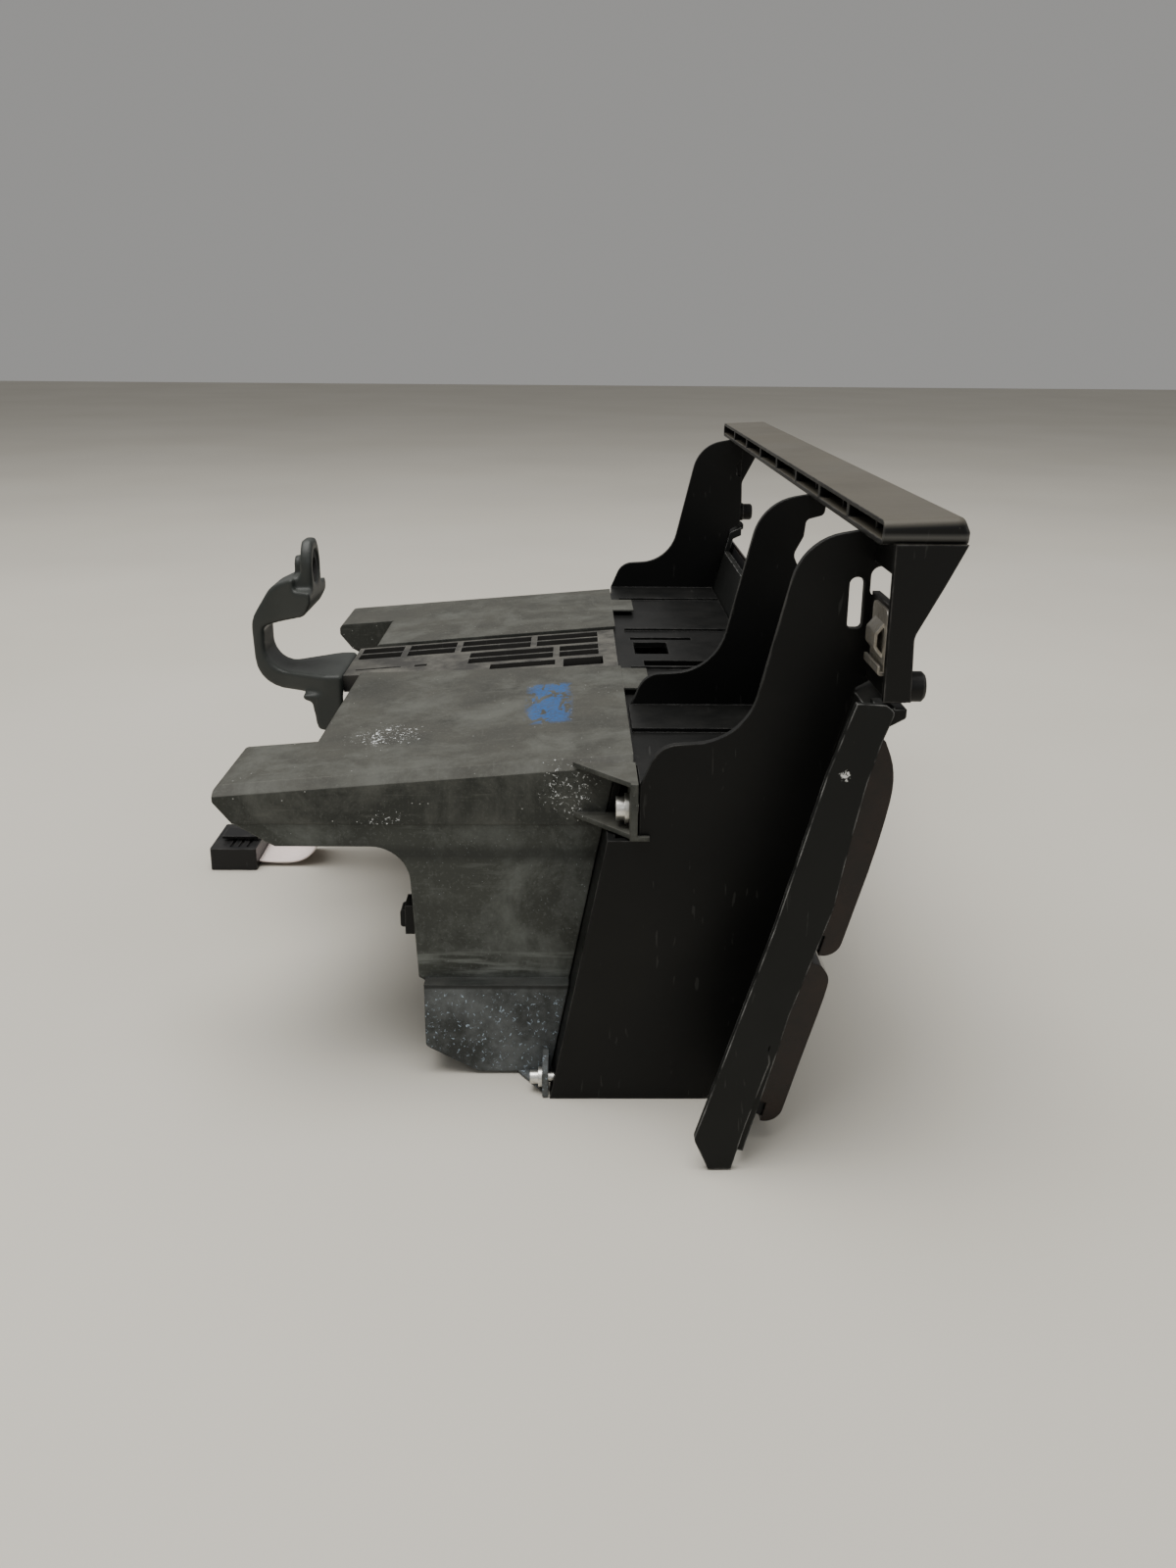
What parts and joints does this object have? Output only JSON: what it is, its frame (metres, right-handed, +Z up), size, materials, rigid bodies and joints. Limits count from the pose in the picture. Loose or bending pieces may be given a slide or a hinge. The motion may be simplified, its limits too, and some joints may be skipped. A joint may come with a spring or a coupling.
{
  "type": "dashboard stowage module",
  "caption": "Dash stowage module with hinged doors on a sloping front, lined bins, S-shaped end brackets under a hood beam, grey rear covers, a rear support hook and a flat cable.",
  "frame": {"origin": "centre of the footprint without the cable, on the surface the module stands on", "axes": "+X along the module, -Y towards the doors, +Z up"},
  "size_m": [0.422, 0.2813, 0.1991],
  "materials": {
    "black_moulding": "satin black, fine grain",
    "hood_moulding": "satin charcoal",
    "fascia_moulding": "grained charcoal, satin",
    "cover_moulding": "dusty warm grey, matte",
    "shell_moulding": "dark greenish grey, matte, worn speckles",
    "beam_moulding": "satin black",
    "hook_moulding": "dark grey-green, semi-matte",
    "bin_liner": "flocked black",
    "door_veneer": "dark red-brown veneer under high-gloss lacquer",
    "door_moulding": "matte black",
    "white_acetal": "natural acetal, satin",
    "lens": "clear, frosted",
    "circuit_board": "green solder mask",
    "zinc_steel": "zinc plated, dull",
    "spring_steel": "dull bright",
    "rubber": "matte",
    "cable_jacket": "pinkish white, satin",
    "connector_moulding": "satin black"
  },
  "bodies": {
    "module": {"carrier": "black_moulding", "hood_beam": "hood_moulding", "door_frame": "fascia_moulding", "lower_bin": "bin_liner", "upper_bin": "bin_liner", "lamp_housing": "black_moulding", "lamp_board": "circuit_board", "lamp_lens": "lens", "switch_body": "black_moulding", "upper_cover_left": "cover_moulding", "upper_cover_right": "cover_moulding", "rear_shell": "shell_moulding", "support_beam": "beam_moulding", "support_hook": "hook_moulding", "eye_grommet": "rubber", "upper_screws": "zinc_steel", "lower_screws": "zinc_steel", "spring_clip_left": "spring_steel", "spring_clip_right": "spring_steel", "rear_clip": "black_moulding", "bump_stops": "rubber", "ribbon_cable": "cable_jacket", "ribbon_socket": "connector_moulding", "connector_housing": "connector_moulding", "connector_latch": "connector_moulding", "upper_damper_housing": "black_moulding", "upper_latch_body": "black_moulding", "upper_latch_spring": "spring_steel", "lower_damper_housing": "black_moulding", "lower_latch_body": "black_moulding", "lower_latch_spring": "spring_steel"},
    "upper_door": {"upper_door_veneer": "door_veneer", "upper_door_shell": "door_moulding", "upper_door_inner": "door_moulding", "upper_door_pins": "spring_steel", "upper_door_sector": "white_acetal", "upper_door_striker": "white_acetal"},
    "upper_pinion": {"upper_pinion": "white_acetal"},
    "upper_plunger": {"upper_plunger": "white_acetal"},
    "lower_door": {"lower_door_veneer": "door_veneer", "lower_door_shell": "door_moulding", "lower_door_inner": "door_moulding", "lower_door_pins": "spring_steel", "lower_door_sector": "white_acetal", "lower_door_striker": "white_acetal"},
    "lower_pinion": {"lower_pinion": "white_acetal"},
    "lower_plunger": {"lower_plunger": "white_acetal"},
    "switch_plunger": {"switch_plunger": "white_acetal"}
  },
  "joints": [
    {"name": "upper_door_hinge", "type": "hinge", "parent": "module", "child": "upper_door", "pos_m": [0, -0.09248, 0.07091], "axis": [1, 0, 0], "range_deg": [0, 75]},
    {"name": "upper_pinion_spin", "type": "hinge", "parent": "module", "child": "upper_pinion", "pos_m": [0, -0.08109, 0.09649], "axis": [1, 0, 0], "range_deg": [-276, 1]},
    {"name": "upper_latch_press", "type": "slide", "parent": "module", "child": "upper_plunger", "axis": [0, -0.969, -0.247], "range_m": [-0.0025, 0], "stiffness_N_per_m": 400, "springref_m": 0.001},
    {"name": "lower_door_hinge", "type": "hinge", "parent": "module", "child": "lower_door", "pos_m": [0, -0.07752, 0.0122], "axis": [1, 0, 0], "range_deg": [0, 75]},
    {"name": "lower_pinion_spin", "type": "hinge", "parent": "module", "child": "lower_pinion", "pos_m": [0, -0.06613, 0.03778], "axis": [1, 0, 0], "range_deg": [-276, 1]},
    {"name": "lower_latch_press", "type": "slide", "parent": "module", "child": "lower_plunger", "axis": [0, -0.969, -0.247], "range_m": [-0.0025, 0], "stiffness_N_per_m": 400, "springref_m": 0.001},
    {"name": "switch_press", "type": "slide", "parent": "module", "child": "switch_plunger", "axis": [0, -0.969, -0.247], "range_m": [-0.002, 0], "stiffness_N_per_m": 300, "springref_m": 0.001}
  ],
  "couplings": [
    {"joint": "upper_pinion_spin", "follows": "upper_door_hinge", "ratio": -3.6667},
    {"joint": "lower_pinion_spin", "follows": "lower_door_hinge", "ratio": -3.6667}
  ]
}
